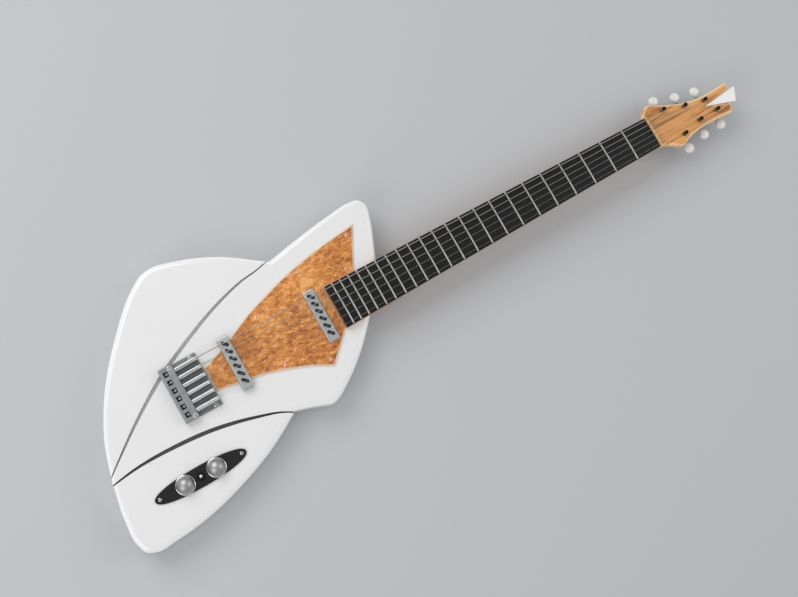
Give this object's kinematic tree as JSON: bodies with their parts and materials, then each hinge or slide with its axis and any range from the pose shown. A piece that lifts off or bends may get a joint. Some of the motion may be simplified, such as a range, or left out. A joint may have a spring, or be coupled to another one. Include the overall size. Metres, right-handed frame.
{
  "type": "electric guitar",
  "caption": "Solid-body electric guitar with a white body of three pointed shards, a figured-wood guard and a forked wooden head with a white fin.",
  "frame": {"origin": "on the flat back of the body, under the middle of the saddle line", "axes": "+X along the strings to the head, +Y to the bass side, +Z out of the front"},
  "size_m": [0.9562, 0.3029, 0.0582],
  "materials": {
    "gloss_white": "polished white lacquer",
    "head_wood": "oiled figured wood",
    "board_wood": "near-black fine wood",
    "guard_wood": "lacquered figured wood",
    "fret_metal": "worn bright",
    "nut_bone": "polished bone",
    "steel": "plain",
    "nickel": "satin nickel plate",
    "bridge_metal": "satin",
    "screw_rose": "rose-tinted plate",
    "black_plastic": "matt",
    "black_gloss": "polished black",
    "knob_chrome": "polished",
    "lead_insulation": "plain",
    "string_steel": "wound and plain",
    "pearl": "pearly"
  },
  "bodies": {
    "guitar": {"body": "gloss_white", "neck": "head_wood", "head_fin": "gloss_white", "fingerboard": "board_wood", "frets": "fret_metal", "nut": "nut_bone", "truss_rod": "steel", "neck_plate": "nickel", "neck_bolts": "steel", "pickguard": "guard_wood", "pickguard_screws": "screw_rose", "neck_pickup_cover": "nickel", "neck_pickup_coil": "black_plastic", "bridge_pickup_cover": "nickel", "bridge_pickup_coil": "black_plastic", "pickup_magnets": "steel", "pickup_leads": "lead_insulation", "jack_lead": "lead_insulation", "bridge_base": "bridge_metal", "saddles": "bridge_metal", "intonation_screws": "steel", "height_screws": "steel", "bridge_screws": "steel", "control_plate": "black_gloss", "small_screws": "steel", "volume_pot": "steel", "tone_pot": "steel", "control_nuts": "nickel", "selector_switch": "black_plastic", "output_jack": "nickel", "jack_plate": "nickel", "strap_sockets": "nickel", "tuner_housings": "nickel", "tuner_bushings": "nickel", "string_1": "string_steel", "string_2": "string_steel", "string_3": "string_steel", "string_4": "string_steel", "string_5": "string_steel", "string_6": "string_steel"},
    "volume": {"volume_knob": "knob_chrome", "volume_shaft": "steel"},
    "tone": {"tone_knob": "knob_chrome", "tone_shaft": "steel"},
    "selector": {"selector_lever": "knob_chrome"},
    "key_1": {"tuner_key_1": "pearl"},
    "post_1": {"tuner_post_1": "nickel"},
    "key_2": {"tuner_key_2": "pearl"},
    "post_2": {"tuner_post_2": "nickel"},
    "key_3": {"tuner_key_3": "pearl"},
    "post_3": {"tuner_post_3": "nickel"},
    "key_4": {"tuner_key_4": "pearl"},
    "post_4": {"tuner_post_4": "nickel"},
    "key_5": {"tuner_key_5": "pearl"},
    "post_5": {"tuner_post_5": "nickel"},
    "key_6": {"tuner_key_6": "pearl"},
    "post_6": {"tuner_post_6": "nickel"}
  },
  "joints": [
    {"name": "volume_turn", "type": "hinge", "parent": "guitar", "child": "volume", "pos_m": [-0.045, -0.0975, 0.042], "axis": [0, 0, 1], "range_deg": [-150, 150]},
    {"name": "tone_turn", "type": "hinge", "parent": "guitar", "child": "tone", "pos_m": [-0.086, -0.0975, 0.042], "axis": [0, 0, 1], "range_deg": [-150, 150]},
    {"name": "selector_tilt", "type": "hinge", "parent": "guitar", "child": "selector", "pos_m": [-0.0655, -0.0975, 0.043], "axis": [0, 1, 0], "range_deg": [-12, 12]},
    {"name": "key_1_turn", "type": "hinge", "parent": "guitar", "child": "key_1", "pos_m": [0.697, -0.0215, 0.0235], "axis": [0, -1, 0], "continuous": true},
    {"name": "post_1_turn", "type": "hinge", "parent": "guitar", "child": "post_1", "pos_m": [0.6905, -0.0215, 0.045], "axis": [0, 0, 1], "continuous": true},
    {"name": "key_2_turn", "type": "hinge", "parent": "guitar", "child": "key_2", "pos_m": [0.726, -0.015, 0.0235], "axis": [0, -1, 0], "continuous": true},
    {"name": "post_2_turn", "type": "hinge", "parent": "guitar", "child": "post_2", "pos_m": [0.7195, -0.015, 0.045], "axis": [0, 0, 1], "continuous": true},
    {"name": "key_3_turn", "type": "hinge", "parent": "guitar", "child": "key_3", "pos_m": [0.7545, -0.014, 0.0235], "axis": [0, -1, 0], "continuous": true},
    {"name": "post_3_turn", "type": "hinge", "parent": "guitar", "child": "post_3", "pos_m": [0.748, -0.014, 0.045], "axis": [0, 0, 1], "continuous": true},
    {"name": "key_4_turn", "type": "hinge", "parent": "guitar", "child": "key_4", "pos_m": [0.7455, 0.005, 0.0235], "axis": [0, 1, 0], "continuous": true},
    {"name": "post_4_turn", "type": "hinge", "parent": "guitar", "child": "post_4", "pos_m": [0.739, 0.005, 0.045], "axis": [0, 0, 1], "continuous": true},
    {"name": "key_5_turn", "type": "hinge", "parent": "guitar", "child": "key_5", "pos_m": [0.7165, 0.011, 0.0235], "axis": [0, 1, 0], "continuous": true},
    {"name": "post_5_turn", "type": "hinge", "parent": "guitar", "child": "post_5", "pos_m": [0.71, 0.011, 0.045], "axis": [0, 0, 1], "continuous": true},
    {"name": "key_6_turn", "type": "hinge", "parent": "guitar", "child": "key_6", "pos_m": [0.687, 0.02, 0.0235], "axis": [0, 1, 0], "continuous": true},
    {"name": "post_6_turn", "type": "hinge", "parent": "guitar", "child": "post_6", "pos_m": [0.6805, 0.02, 0.045], "axis": [0, 0, 1], "continuous": true}
  ],
  "couplings": [
    {"joint": "post_1_turn", "follows": "key_1_turn", "ratio": 0.071429},
    {"joint": "post_2_turn", "follows": "key_2_turn", "ratio": 0.071429},
    {"joint": "post_3_turn", "follows": "key_3_turn", "ratio": 0.071429},
    {"joint": "post_4_turn", "follows": "key_4_turn", "ratio": 0.071429},
    {"joint": "post_5_turn", "follows": "key_5_turn", "ratio": 0.071429},
    {"joint": "post_6_turn", "follows": "key_6_turn", "ratio": 0.071429}
  ]
}
